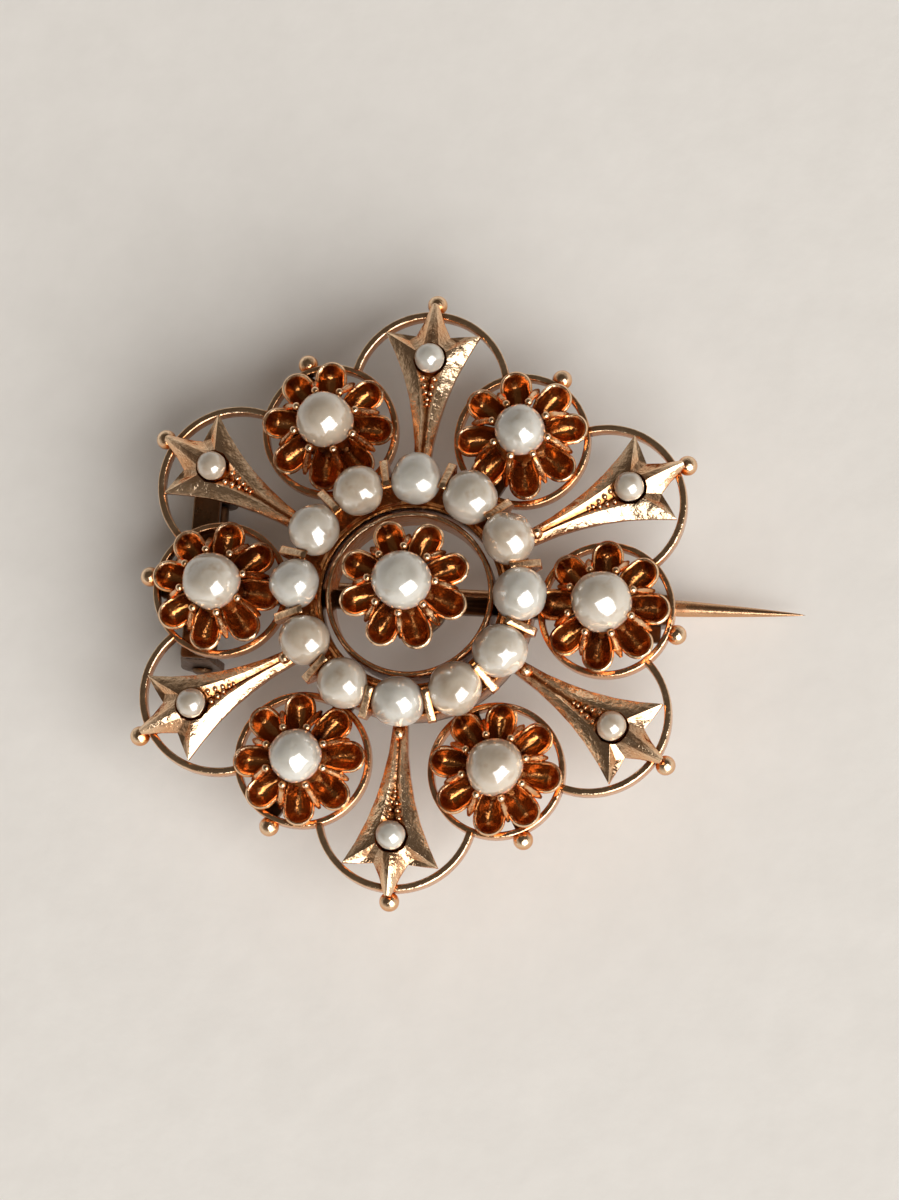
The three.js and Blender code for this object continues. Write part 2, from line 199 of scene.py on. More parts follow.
def lathe(profile, segments, closed=False):
    """Turns a profile of (radius, height) about Z. An open profile starts and ends on the axis."""
    rings = []
    for k in range(segments):
        angle = 2 * math.pi * k / segments
        rings.append([(r * math.cos(angle), r * math.sin(angle), z) for r, z in profile])
    size = len(profile)
    faces = []
    for a in range(segments):
        b = (a + 1) % segments
        for i in range(size if closed else size - 1):
            j = (i + 1) % size
            faces.append([a * size + i, b * size + i, b * size + j, a * size + j])
    return Shape().add([p for ring in rings for p in ring], faces)


def filleted(corners, radius, steps=4, closed=True):
    """Rounds the corners of a flat outline, each by the radius or as much as its sides allow."""
    out = []
    count = len(corners)
    for i, corner in enumerate(corners):
        if not closed and i in (0, count - 1):
            out.append(tuple(corner))
            continue
        here = Vector(corner)
        before = Vector(corners[i - 1]) - here
        after = Vector(corners[(i + 1) % count]) - here
        reach = min(radius, before.length * 0.45, after.length * 0.45)
        start = here + before.normalized() * reach
        end = here + after.normalized() * reach
        for k in range(steps + 1):
            t = k / steps
            out.append(tuple(start * (1 - t) ** 2 + here * 2 * t * (1 - t) + end * t * t))
    return out


def ball(radius, centre, around=16, down=10, flat=1.0):
    """A ball, its height scaled by flat."""
    profile = []
    for k in range(down + 1):
        angle = math.pi * (k / down - 0.5)
        profile.append((radius * math.cos(angle), radius * math.sin(angle) * flat))
    profile[0] = (0, profile[0][1])
    profile[-1] = (0, profile[-1][1])
    return lathe(profile, around).moved(shift(*centre))


def arc(cx, cy, radius, start, end, steps):
    """Points along an arc in degrees, both ends included."""
    out = []
    for k in range(steps + 1):
        angle = math.radians(start + (end - start) * k / steps)
        out.append((cx + radius * math.cos(angle), cy + radius * math.sin(angle)))
    return out


# ---- pieces ----

WELD = 0.0005
SOFTENED_FROM_DEG = 12

made = []


def worked(shape, weld=0.002):
    """The shape as a clean bmesh: welded, without slivers, faces out."""
    work = bmesh.new()
    corners = [work.verts.new(p) for p in shape.points]
    for face in shape.faces:
        work.faces.new([corners[i] for i in face])
    bmesh.ops.remove_doubles(work, verts=work.verts, dist=weld)
    bmesh.ops.dissolve_degenerate(work, edges=work.edges, dist=weld * 0.5)
    bmesh.ops.recalc_face_normals(work, faces=work.faces)
    return work


def bevelled(shape, width):
    """The shape with its sharp edges softened."""
    work = worked(shape)
    sharp = math.radians(SOFTENED_FROM_DEG)
    edges = [e for e in work.edges if len(e.link_faces) == 2 and e.calc_face_angle() > sharp]
    options = {"offset": width, "segments": 2, "profile": 0.6, "affect": "EDGES", "clamp_overlap": True}
    bmesh.ops.bevel(work, geom=edges, **options)
    work.verts.index_update()
    out = Shape().add([v.co for v in work.verts], [[v.index for v in f.verts] for f in work.faces])
    work.free()
    return out


def piece(node, shape, material, sharp=35):
    """Makes the finished piece that stands for a node, and gives it the node's body."""
    work = worked(shape, WELD)
    bmesh.ops.scale(work, vec=(METRES, METRES, METRES), verts=work.verts)
    mesh = bpy.data.meshes.new(node + "_fine")
    work.to_mesh(mesh)
    work.free()
    mesh.shade_smooth()
    mesh.set_sharp_from_angle(angle=math.radians(sharp))
    mesh.materials.append(material)
    made_piece = bpy.data.objects.new(node + "_fine", mesh)
    bpy.context.scene.collection.objects.link(made_piece)
    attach(made_piece, BODY_OF[node])
    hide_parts(node)
    made.append(made_piece)
    return made_piece


def middle(node):
    low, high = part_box(node)
    return (low + high) / 2 / METRES


# ---- materials ----

class Nodes:
    """A short way to build a material's nodes."""

    def __init__(self, name):
        self.material = bpy.data.materials.new(name)
        self.material.use_nodes = True
        self.tree = self.material.node_tree
        self.shader = self.tree.nodes["Principled BSDF"]

    def new(self, kind, **settings):
        node = self.tree.nodes.new(kind)
        for key, value in settings.items():
            if key in node.inputs:
                node.inputs[key].default_value = value
            else:
                setattr(node, key, value)
        return node

    def link(self, output, entry):
        self.tree.links.new(output, entry)

    def place(self):
        return self.new("ShaderNodeTexCoord").outputs["Object"]

    def noise(self, scale, detail=3.0, roughness=0.55, distortion=0.0):
        settings = {"Scale": scale, "Detail": detail, "Roughness": roughness, "Distortion": distortion}
        node = self.new("ShaderNodeTexNoise", **settings)
        self.link(self.place(), node.inputs["Vector"])
        return node.outputs["Fac"]

    def map(self, value, low, high, to_low, to_high):
        node = self.new("ShaderNodeMapRange")
        for key, number in (("From Min", low), ("From Max", high), ("To Min", to_low), ("To Max", to_high)):
            node.inputs[key].default_value = number
        self.link(value, node.inputs["Value"])
        return node.outputs["Result"]

    def maths(self, operation, a, b):
        node = self.new("ShaderNodeMath", operation=operation)
        for entry, value in zip(node.inputs, (a, b)):
            if isinstance(value, (int, float)):
                entry.default_value = value
            else:
                self.link(value, entry)
        return node.outputs[0]

    def blend(self, factor, a, b, mode="MIX"):
        node = self.new("ShaderNodeMix", data_type="RGBA", blend_type=mode)
        if isinstance(factor, (int, float)):
            node.inputs["Factor"].default_value = factor
        else:
            self.link(factor, node.inputs["Factor"])
        for entry, value in ((node.inputs[6], a), (node.inputs[7], b)):
            if isinstance(value, tuple):
                entry.default_value = (*value, 1.0)
            else:
                self.link(value, entry)
        return node.outputs[2]

    def bump(self, height, strength, distance):
        node = self.new("ShaderNodeBump", Strength=strength, Distance=distance)
        self.link(height, node.inputs["Height"])
        self.link(node.outputs["Normal"], self.shader.inputs["Normal"])


def gold(name, bright, amber, recess, smooth, rough, dents):
    """Old gold: bright on exposed faces that look up or down, where handling rubs it; amber on faces that
    turn sideways and in the hollows, a painted reflection of the gold in itself and painted shade; and
    brown in the crevices, as patina and painted shade. Dents is how far handling has marked it."""
    m = Nodes(name)
    opening = m.new("ShaderNodeAttribute", attribute_name="open").outputs["Fac"]
    cloud = m.noise(900.0, 4.0)
    speck = m.noise(5200.0, 3.0, 0.6)
    clean = m.maths("ADD", opening, m.map(cloud, 0.3, 0.7, -0.1, 0.1))
    # Painted reflection and shade: where the openness is low the gold takes the amber colour, standing for
    # the gold mirrored in its own hollows and for shade on faces that turn sideways; where it is high, the
    # bright colour of wear.
    rubbed_and_unshaded = m.map(clean, 0.4, 0.8, 0.0, 1.0)
    # Patina and painted shade: the deepest crevices go to the dark recess colour.
    deep = m.map(clean, 0.05, 0.34, 1.0, 0.0)
    worn = tuple(0.86 * c for c in bright)
    tone = m.blend(m.map(speck, 0.35, 0.65, 0.0, 0.6), bright, worn)
    tone = m.blend(rubbed_and_unshaded, amber, tone)
    tone = m.blend(deep, tone, recess)
    m.link(tone, m.shader.inputs["Base Color"])
    grain = m.maths("ADD", m.map(speck, 0.3, 0.7, 0.0, 0.06), m.map(deep, 0.0, 1.0, 0.0, 0.14))
    m.link(m.maths("ADD", m.map(cloud, 0.3, 0.7, smooth, rough), grain), m.shader.inputs["Roughness"])
    m.shader.inputs["Metallic"].default_value = 1.0
    waves = m.maths("MULTIPLY", m.noise(2300.0, 2.0), 2.4)
    m.bump(m.maths("ADD", speck, waves), dents, 0.00004)
    return m.material


def pearl(name, body, glow, shade):
    """Nacre: cream, clouded with a warmer and a cooler overtone, under a clear bright skin."""
    m = Nodes(name)
    cloud = m.noise(700.0, 3.0, 0.5, 0.4)
    fine = m.noise(4200.0, 2.0)
    tone = m.blend(m.map(cloud, 0.35, 0.65, 0.0, 1.0), body, glow)
    spots = m.map(m.noise(1500.0, 2.0, 0.5), 0.58, 0.75, 0.0, 0.55)
    tone = m.blend(spots, tone, shade)
    # Painted shade: the nacre darkens toward the shade colour where metal hems the pearl in and the
    # openness is low.
    opening = m.new("ShaderNodeAttribute", attribute_name="open").outputs["Fac"]
    tone = m.blend(m.map(opening, 0.1, 0.6, 0.55, 0.0), tone, shade)
    m.link(tone, m.shader.inputs["Base Color"])
    m.link(m.map(fine, 0.3, 0.7, 0.16, 0.26), m.shader.inputs["Roughness"])
    m.shader.inputs["IOR"].default_value = 2.1
    m.shader.inputs["Subsurface Weight"].default_value = 0.15
    m.shader.inputs["Subsurface Radius"].default_value = (1.0, 0.75, 0.5)
    m.shader.inputs["Subsurface Scale"].default_value = 0.0003
    m.shader.inputs["Coat Weight"].default_value = 1.0
    m.shader.inputs["Coat Roughness"].default_value = 0.06
    m.shader.inputs["Coat IOR"].default_value = 2.1
    m.bump(m.maths("ADD", cloud, m.maths("MULTIPLY", fine, 0.12)), 0.2, 0.00008)
    return m.material


# each metal: colours for faces worn bright by rubbing, for hollows and sideways faces (painted reflection
# and shade) and for crevices (patina and painted shade), least and most roughness, and dents
ROSE = gold("rose_gold", (0.97, 0.71, 0.47), (0.72, 0.29, 0.09), (0.12, 0.04, 0.018), 0.1, 0.2, 0.5)
# Painted shade: the back metal is made dark all over, as tarnish and as the shade it lies in beneath the
# brooch.
TARNISHED_AND_SHADED = gold("worn_gold", (0.2, 0.12, 0.065), (0.13, 0.065, 0.032), (0.035, 0.018, 0.01), 0.22, 0.36, 0.4)
STEM = gold("stem_gold", (0.74, 0.45, 0.26), (0.62, 0.29, 0.11), (0.28, 0.12, 0.05), 0.16, 0.28, 0.12)
NACRE = [
    pearl("nacre_cream", (0.5, 0.43, 0.34), (0.61, 0.56, 0.48), (0.38, 0.26, 0.16)),
    pearl("nacre_white", (0.5, 0.47, 0.41), (0.62, 0.6, 0.54), (0.36, 0.28, 0.19)),
    pearl("nacre_blush", (0.5, 0.41, 0.31), (0.6, 0.52, 0.42), (0.38, 0.25, 0.15)),
]


# ---- pearls ----

def pearl_shape(centre, radius, seed, most):
    """A pearl that is not quite round: slow swellings, and a shallow ripple over them."""
    shape = ball(1.0, (0, 0, 0), 48, 32)
    offset = Vector((seed * 7.3, seed * 3.1, seed * 5.7))
    points = []
    for p in shape.points:
        swell = noise.noise(p * 0.8 + offset) * 0.1
        ripple = noise.noise(p * 2.1 - offset) * 0.025
        grow = 0.985 + swell + ripple
        points.append(p * radius * min(grow, most) + Vector(centre))
    return Shape().add(points, shape.faces)


def add_pearl(node, seed, most=1.0):
    """A pearl for a node. Most is how far its skin may stand out, as a share of the node's radius."""
    low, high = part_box(node)
    radius = (high.z - low.z) / 2 / METRES
    shape = pearl_shape(middle(node), radius, seed, most)
    piece(node, shape, NACRE[seed % len(NACRE)], sharp=180)


# ---- coronets ----

PETAL_C = 2.24
PETAL_W = 0.71
PETAL_IN = 1.15
RIM_TOP = 1.5
SCOOP_FLOOR = 0.84
# across the rim: the share of the way in to the petal's spine, and the drop below the rim's top
RIM_SECTION = [
    (0.27, 0.09),
    (0.21, 0.045),
    (0.145, 0.0),
    (0.105, 0.0),
    (0.05, 0.04),
    (0.0, 0.09),
    (0.01, 0.16),
    (0.06, 0.26),
]
PRONG_BEAD_R = 0.185
PRONG_BEAD_Z = 2.42
PRONG_BEAD_OUT = 0.14


def petal_outline():
    """The petal's edge from one inner end round the tip to the other, each point with the spine point that
    it leans to."""
    flank = []
    for k in range(8):
        x = PETAL_IN + (PETAL_C - PETAL_IN) * k / 8
        half = min(PETAL_W, x * math.tan(math.pi / PETALS) * 0.985)
        flank.append(((x, half), (x, 0.0)))
    tip = []
    for k in range(17):
        angle = math.radians(90 - 180 * k / 16)
        tip.append(((PETAL_C + PETAL_W * math.cos(angle), PETAL_W * math.sin(angle)), (PETAL_C, 0.0)))
    far = [((x, -y), spine) for (x, y), spine in reversed(flank)]
    return flank + tip + far


def petal():
    """A spoon with a raised, rounded rim, hollow above and full below."""
    ribs = []
    for (x, y), (sx, sy) in petal_outline():
        inward = max(0.0, (1.9 - x) / (1.9 - PETAL_IN))
        rim = RIM_TOP - 0.05 + 0.22 * inward
        section = []

        def at(share, z):
            section.append((x + (sx - x) * share, y + (sy - y) * share, z))

        for share in (1.0, 0.86, 0.72, 0.58, 0.45, 0.35):
            rise = ((1 - share) / 0.74) ** 2.1
            at(share, SCOOP_FLOOR + (rim - 0.12 - SCOOP_FLOOR) * rise)
        for share, drop in RIM_SECTION:
            at(share, rim - drop)
        for share in (0.2, 0.42, 0.7, 1.0):
            rise = ((1 - share) / 0.94) ** 2
            at(share, SCOOP_FLOOR - 0.19 + (rim - 0.17 - SCOOP_FLOOR) * rise)
        ribs.append(section)
    shape = Shape()
    size = len(ribs[0])
    faces = []
    for a in range(len(ribs) - 1):
        for i in range(size - 1):
            faces.append([a * size + i, a * size + i + 1, (a + 1) * size + i + 1, (a + 1) * size + i])
    last = (len(ribs) - 1) * size
    faces.append([i for i in range(size)] + [last + i for i in reversed(range(size))])
    return shape.add([p for rib in ribs for p in rib], faces)


def prong(pearl_r):
    """The wedge between two petals that rises to a claw, with its bead against the pearl."""
    head = pearl_r + PRONG_BEAD_OUT
    # distance out, height, half thickness and half width, from the foot up
    stations = [
        (2.3, 0.98, 0.06, 0.08),
        (2.12, 1.26, 0.13, 0.17),
        (1.93, 1.54, 0.16, 0.2),
        (1.75, 1.82, 0.16, 0.18),
        (max(1.58, head + 0.07), 2.1, 0.14, 0.15),
        (head + 0.03, 2.36, 0.13, 0.14),
    ]
    rings = []
    for k, (r, z, thick, wide) in enumerate(stations):
        ahead = stations[min(k + 1, len(stations) - 1)]
        behind = stations[max(k - 1, 0)]
        along = Vector((ahead[0] - behind[0], 0, ahead[1] - behind[1])).normalized()
        across = Vector((-along.z, 0, along.x))
        ring = []
        for i in range(10):
            angle = 2 * math.pi * i / 10
            aside = Vector((0, wide * math.sin(angle), 0))
            ring.append(Vector((r, 0, z)) + across * thick * math.cos(angle) + aside)
        rings.append(ring)
    return loft(rings).join(ball(PRONG_BEAD_R, (head, 0, PRONG_BEAD_Z), 14, 10))


def coronet(pearl_r, lift, foot):
    """Eight petals and eight prongs on a footed cup. Heights are measured from the frame."""
    waist = max(0.42, lift + 0.05)
    profile = [(0, foot), (0.93, foot), (0.95, foot + 0.03), (0.95, waist)]
    profile += [(1.06, lift + 0.52), (1.26, lift + 0.68), (1.36, lift + 0.82), (1.3, lift + 0.9)]
    profile += [(1.1, lift + 0.92), (0.8, lift + 0.85), (0, lift + 0.84)]
    shape = lathe(profile, 48)
    for k in range(PETALS):
        step = 360 / PETALS * k
        uneven = turn(1.6 * math.sin(5 * k + 9 * pearl_r)) @ turn(1.8 * math.sin(3 * k + 7 * pearl_r), "X")
        shape.join(petal(), turn(step) @ uneven @ shift(0, 0, lift))
        shape.join(prong(pearl_r), turn(step + 180 / PETALS) @ shift(0, 0, lift))
    return shape


for i in range(ARMS):
    stand = turn(360 / ARMS * i)
    seat = stand @ shift(FLOWER_R, 0, FRAME_TOP) @ turn(FLOWER_LEAN_DEG[i], "Y") @ turn(FLOWER_TWIST_DEG[i])
    pearl_low, pearl_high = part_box(f"flower_pearl_{i + 1}")
    pearl_r = (pearl_high.z - pearl_low.z) / 2 / METRES
    piece(f"flower_coronet_{i + 1}", coronet(pearl_r, 0, 0.12).moved(seat), ROSE)
    add_pearl(f"flower_pearl_{i + 1}", i, 1.02)
    corners = [(RING_IN, DECK_Z), (RING_OUT, DECK_Z), (RING_OUT, RING_TOP), (RING_IN, RING_TOP)]
    ring = lathe(filleted(corners, 0.08, 3), 96, closed=True)
    bead = turn(FLOWER_BEAD_DEG[i]) @ shift(BEAD_AT, 0, (DECK_Z + RING_TOP) / 2)
    ring.join(ball(BEAD_R, (0, 0, 0), 24, 16), bead)
    piece(f"flower_ring_{i + 1}", ring.moved(stand @ shift(FLOWER_R, 0, 0)), ROSE)

centre_seat = shift(0, 0, FRAME_TOP) @ turn(180 / PETALS)
centre_low, centre_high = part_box("centre_pearl")
centre_pearl_r = (centre_high.z - centre_low.z) / 2 / METRES
piece("centre_coronet", coronet(centre_pearl_r, CENTRE_LIFT, 0.02).moved(centre_seat), ROSE)
add_pearl("centre_pearl", 7)

wire = [
    (CENTRE_RING_IN, DECK_Z),
    (CENTRE_RING_OUT, DECK_Z),
    (CENTRE_RING_OUT, CENTRE_RING_TOP),
    (CENTRE_RING_IN, CENTRE_RING_TOP),
]
piece("centre_ring_wire", lathe(filleted(wire, 0.1, 4), 128, closed=True), ROSE)


# ---- ring of pearls ----

def claw():
    """A wedge between two pearls: it fills the gap they leave, and slopes down past the gallery."""
    side = [(5.2, 1.8), (5.38, 1.8), (5.97, 2.72), (5.97, 3.12), (4.86, 3.76), (4.64, 3.8), (4.62, 3.68)]
    side = filleted(side + [(5.15, 3.27), (5.38, 2.08)], 0.06, 2)
    pearl_x = RING_PEARL_AT * math.cos(math.pi / RING_PEARLS)
    pearl_y = RING_PEARL_AT * math.sin(math.pi / RING_PEARLS)
    rings = []
    for k in range(7):
        across = k / 3 - 1
        ring = []
        for x, z in side:
            inside = RING_PEARL_ROOM**2 - (x - pearl_x) ** 2 - (z - RING_PEARL_Z) ** 2
            gap = pearl_y - math.sqrt(max(0.0, inside))
            half = min(CLAW_HALF, max(CLAW_LEAST_HALF, gap))
            ring.append((x, half * across, z - CLAW_CROWN * across * across))
        rings.append(ring)
    return loft(rings)


def gallery():
    """A channel on its two edges, hollow beneath, with the claws on its rim and a peg under each pearl."""
    plate = GALLERY_TOP - GALLERY_PLATE
    profile = [
        (GALLERY_IN, DECK_Z),
        (GALLERY_IN + GALLERY_WALL, DECK_Z),
        (GALLERY_IN + GALLERY_WALL, plate),
        (GALLERY_OUT - GALLERY_WALL, plate),
        (GALLERY_OUT - GALLERY_WALL, DECK_Z),
        (GALLERY_OUT, DECK_Z),
        (GALLERY_OUT, GALLERY_TOP),
        (GALLERY_OUT - 0.2, GALLERY_TOP),
        (GALLERY_OUT - 0.35, GALLERY_TOP - 0.14),
        (GALLERY_IN + 0.32, GALLERY_TOP - 0.14),
        (GALLERY_IN + 0.18, GALLERY_TOP),
        (GALLERY_IN, GALLERY_TOP),
    ]
    shape = lathe(filleted(profile, 0.06, 2), 144, closed=True)
    peg_foot = plate + 0.05
    peg = [(0, peg_foot), (0.42, peg_foot), (0.33, GALLERY_TOP), (0.3, PEG_TOP), (0, PEG_TOP)]
    for k in range(RING_PEARLS):
        step = 360 / RING_PEARLS
        shape.join(claw(), turn(step * (k + 0.5)))
        shape.join(lathe(peg, 24), turn(step * k) @ shift(RING_PEARL_AT, 0, 0))
    return shape


piece("pearl_gallery", gallery(), ROSE)
for k in range(RING_PEARLS):
    add_pearl(f"ring_pearl_{k + 1}", 10 + k, 1.045)


# ---- trumpet arms ----

def arm_metal():
    """Two long slopes with a groove between, a collar for the seed pearl, two ridged wings with hollows cut
    beside them, and a ridged spike. Half of it is drawn, then its mirror."""
    edge = [(5.46, 0.3), (7.0, 0.42), (8.0, 0.6), (9.0, 0.84), (10.0, 1.18), (11.0, 1.63)]
    edge_z = [1.84, 1.76, 1.7, 1.64, 1.58, 1.52]
    crest = [(5.46, 0.1), (7.0, 0.15), (8.0, 0.21), (9.0, 0.34), (9.72, 0.47)]
    crest_z = [2.04, 1.99, 1.96, 1.93, 1.91]
    collar_z = {0: 2.02, 25: 1.92, 45: 1.84, 62: 1.94, 95: 1.88, 130: 1.9, 162: 1.78, 180: 1.6}
    turns = list(collar_z)
    star = [(11.93, 2.12, 1.6), (11.9, 1.42, 1.46), (11.84, 0.76, 1.43)]
    star += [(12.45, 0.45, 1.5), (13.28, 0.15, 1.6)]
    shape = Shape()
    for side in (1, -1):
        def at(x, y, z):
            return (x, y * side, z)

        def about_seed(radius, degrees, z):
            angle = math.radians(degrees)
            return at(SEED_AT + radius * math.cos(angle), radius * math.sin(angle), z)

        e = [at(x, y, z) for (x, y), z in zip(edge, edge_z)]
        g = [at(x, y, z) for (x, y), z in zip(crest, crest_z)]
        f = [at(x, 0, z) for x, z in ((5.46, 1.92), (7.0, 1.84), (8.0, 1.76), (9.0, 1.66), (9.9, 1.58))]
        wing, middle_edge, notch, waist, spike_side = (at(*p) for p in star)
        hollow, ridge_side, spike_end = at(11.6, 1.06, 1.49), at(13.29, 0.08, 1.7), at(13.3, 0, 1.8)
        c = {degrees: about_seed(COLLAR_R, degrees, z) for degrees, z in collar_z.items()}
        pocket = [about_seed(POCKET_R, degrees, 1.6) for degrees in turns]
        tops = [[e[k], e[k + 1], g[k + 1], g[k]] for k in range(4)]
        tops += [[g[k], g[k + 1], f[k + 1], f[k]] for k in range(4)]
        tops += [[e[4], c[130], g[4]], [e[4], e[5], c[95], c[130]], [e[5], wing, c[62], c[95]]]
        tops += [[g[4], c[130], c[162]], [g[4], c[162], f[4]], [f[4], c[162], c[180]]]
        tops += [[c[62], wing, hollow], [wing, middle_edge, hollow], [middle_edge, notch, hollow]]
        tops += [[hollow, notch, c[45]], [c[62], hollow, c[45]]]
        tops += [[c[45], notch, c[25]], [notch, waist, c[25]]]
        tops += [[waist, spike_side, ridge_side, c[25]], [c[25], ridge_side, spike_end, c[0]]]
        for k in range(len(turns) - 1):
            tops.append([c[turns[k]], c[turns[k + 1]], pocket[k + 1], pocket[k]])
            tops.append([pocket[k], pocket[k + 1], at(SEED_AT, 0, 1.45)])
        outer = [f[0], g[0], *e, wing, middle_edge, notch, waist, spike_side, ridge_side, spike_end]
        walls = []
        for a, b in zip(outer, outer[1:]):
            walls.append([a, b, (b[0], b[1], ARM_BOTTOM), (a[0], a[1], ARM_BOTTOM)])
        for face in tops + walls:
            shape.add(face, [range(len(face))])
    right = [crest[0], *edge, *[(x, y) for x, y, z in star], (13.29, 0.08)]
    under = [(5.46, 0), *right, (13.3, 0), *[(x, -y) for x, y in reversed(right)]]
    return shape.add([(x, y, ARM_BOTTOM) for x, y in under], [range(len(under))])


def arm_beads():
    """The grains raised in the groove beside the seed pearl, and the bead at the root that holds a ring
    pearl."""
    shape = ball(0.29, (6.15, 0, 2.02), 16, 12)
    grains = [(9.88, 0.25, 0.13), (9.84, -0.24, 0.125), (9.54, 0.17, 0.13), (9.5, -0.17, 0.12)]
    grains += [(9.22, 0.1, 0.11), (9.16, -0.12, 0.115), (8.9, 0.0, 0.1), (8.68, 0.0, 0.085)]
    for x, y, r in grains:
        shape.join(ball(r, (x, y, 1.81), 12, 8))
    return shape


def loop_wire():
    """The arc wire on edge, its two ends let into the flower rings, with the end ball under the spike."""
    ring_x = FLOWER_R * math.cos(math.pi / ARMS)
    ring_y = FLOWER_R * math.sin(math.pi / ARMS)
    apart = math.hypot(ring_x - LOOP_AT, ring_y)
    reach = RING_OUT - 0.06
    bend = math.acos((LOOP_R**2 + apart**2 - reach**2) / (2 * LOOP_R * apart))
    half_span = math.degrees(math.atan2(ring_y, ring_x - LOOP_AT) - bend)
    low, high = DECK_Z, LOOP_TOP
    corners = [(-LOOP_HALF, low), (LOOP_HALF, low), (LOOP_HALF, high), (-LOOP_HALF, high)]
    section = filleted(corners, 0.09, 3)
    rings = []
    for k in range(65):
        angle = math.radians(-half_span + 2 * half_span * k / 64)
        ring = []
        for out, z in section:
            r = LOOP_R + out
            ring.append((LOOP_AT + r * math.cos(angle), r * math.sin(angle), z))
        rings.append(ring)
    bead_z = ARM_BOTTOM - BEAD_R - 0.03
    return loft(rings).join(ball(BEAD_R, (LOOP_BEAD_AT, 0, bead_z), 24, 16))


for i in range(ARMS):
    stand = turn(360 / ARMS * (i + 0.5))
    arm = bevelled(arm_metal(), 0.03).join(arm_beads())
    piece(f"arm_{i + 1}", arm.moved(stand), ROSE)
    add_pearl(f"seed_pearl_{i + 1}", 30 + i)
    piece(f"loop_wire_{i + 1}", loop_wire().moved(stand), ROSE)


# ---- back frame ----

def frame_quarter():
    """A quarter of the frame's outline, from its middle along +X and back down +Y."""
    pad = math.degrees(math.asin(SPOKE_HALF / PAD_R))
    foot = math.degrees(math.asin(SPOKE_HALF / FRAME_RING_OUT))
    bar = math.degrees(math.asin(SPOKE_HALF / FRAME_RING_IN))
    hub = math.degrees(math.asin(SPOKE_HALF / HUB_R))
    tip = SPOKE_R - SPOKE_HALF
    near_pad = arc(FLOWER_R, 0, PAD_R, pad, 180 - pad, 14)
    spoke = [(x, -y) for x, y in reversed(near_pad)] + arc(tip, 0, SPOKE_HALF, -90, 90, 12) + near_pad
    here = turn(360 / ARMS)
    outline = [(0, 0), *arc(tip, 0, SPOKE_HALF, 0, 90, 6), *near_pad]
    outline += arc(0, 0, FRAME_RING_OUT, foot, 360 / ARMS - foot, 12)
    outline += [tuple((here @ Vector((x, y, 0))).to_2d()) for x, y in spoke]
    outline += arc(0, 0, FRAME_RING_OUT, 360 / ARMS + foot, 90, 8)
    outline += arc(0, 0, FRAME_RING_IN, 90, bar, 24)
    return outline + arc(0, 0, HUB_R, hub, 90, 12)


def back_spider():
    """Ring, spokes, pads and cross bar in one plate, with the hub standing a little proud behind."""
    outline = frame_quarter()
    plate = Shape()
    for mx, my in ((1, 1), (-1, 1), (-1, -1), (1, -1)):
        flat = [(x * mx, y * my) for x, y in outline]
        for z in (HUB_PROUD, FRAME_TOP):
            plate.add([(x, y, z) for x, y in flat], [range(len(flat))])
        for (ax, ay), (bx, by) in zip(flat, flat[1:] + flat[:1]):
            on_seam = max(abs(ax), abs(bx)) < 0.001 or max(abs(ay), abs(by)) < 0.001
            if not on_seam:
                wall = [(ax, ay, HUB_PROUD), (bx, by, HUB_PROUD), (bx, by, FRAME_TOP), (ax, ay, FRAME_TOP)]
                plate.add(wall, [range(4)])
    boss = [(0, 0), (HUB_R - 0.12, 0), (HUB_R - 0.06, 0.06), (HUB_R - 0.06, 0.2), (0, 0.2)]
    return bevelled(plate, 0.05).join(lathe(boss, 64))


piece("back_spider", back_spider(), TARNISHED_AND_SHADED)


# ---- hinge ----

def ear():
    """A cheek with a rivet hole, round below and narrowing to the plate, drawn in X and Z about the
    hole."""
    rise = FITTING_TOP - 0.1 - PIN_Z
    outer = []
    hole = []
    for k in range(64):
        angle = math.radians(360 / 64 * k)
        dx, dz = math.cos(angle), math.sin(angle)
        reach = EAR_R
        if dz > 0:
            slope = (EAR_R - HINGE_PLATE_HALF) / rise
            reach = min(EAR_R / (abs(dx) + slope * dz), rise / dz)
        outer.append((reach * dx, reach * dz))
        hole.append((EAR_HOLE_R * dx, EAR_HOLE_R * dz))

    def ring(points, scale, y):
        return [(HINGE_X + x * scale, y, PIN_Z + z * scale) for x, z in points]

    half = EAR_THICK / 2
    rings = [ring(hole, 1, -half), ring(outer, 0.95, -half), ring(outer, 1, -half + 0.05)]
    rings += [ring(outer, 1, half - 0.05), ring(outer, 0.95, half), ring(hole, 1, half)]
    return loft(rings, closed=True)


def hinge_plate():
    """A plate with rounded edges, soldered across two spokes, and an ear at each end."""
    shape = Shape()
    low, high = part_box("hinge_plate")
    ends = (low.y / METRES, high.y / METRES)
    left, right = HINGE_X - HINGE_PLATE_HALF, HINGE_X + HINGE_PLATE_HALF
    outline = filleted([(left, ends[0]), (right, ends[0]), (right, ends[1]), (left, ends[1])], 0.2, 4)
    rings = []
    bottom = FITTING_TOP - HINGE_PLATE_THICK
    for inset, z in ((0.05, bottom), (0, bottom + 0.05), (0, FITTING_TOP - 0.05), (0.05, FITTING_TOP)):
        centre = Vector((HINGE_X, sum(ends) / 2))
        ring = []
        for x, y in outline:
            lean = Vector((x, y)) - centre
            ring.append((x - math.copysign(inset, lean.x), y - math.copysign(inset, lean.y), z))
        rings.append(ring)
    shape.join(loft(rings))
    for y in (ends[0] + EAR_THICK / 2, ends[1] - EAR_THICK / 2):
        shape.join(ear(), shift(0, y, 0))
    return shape


def along_y(shape):
    return shape.moved(shift(HINGE_X, PIN_Y, PIN_Z) @ turn(-90, "X"))


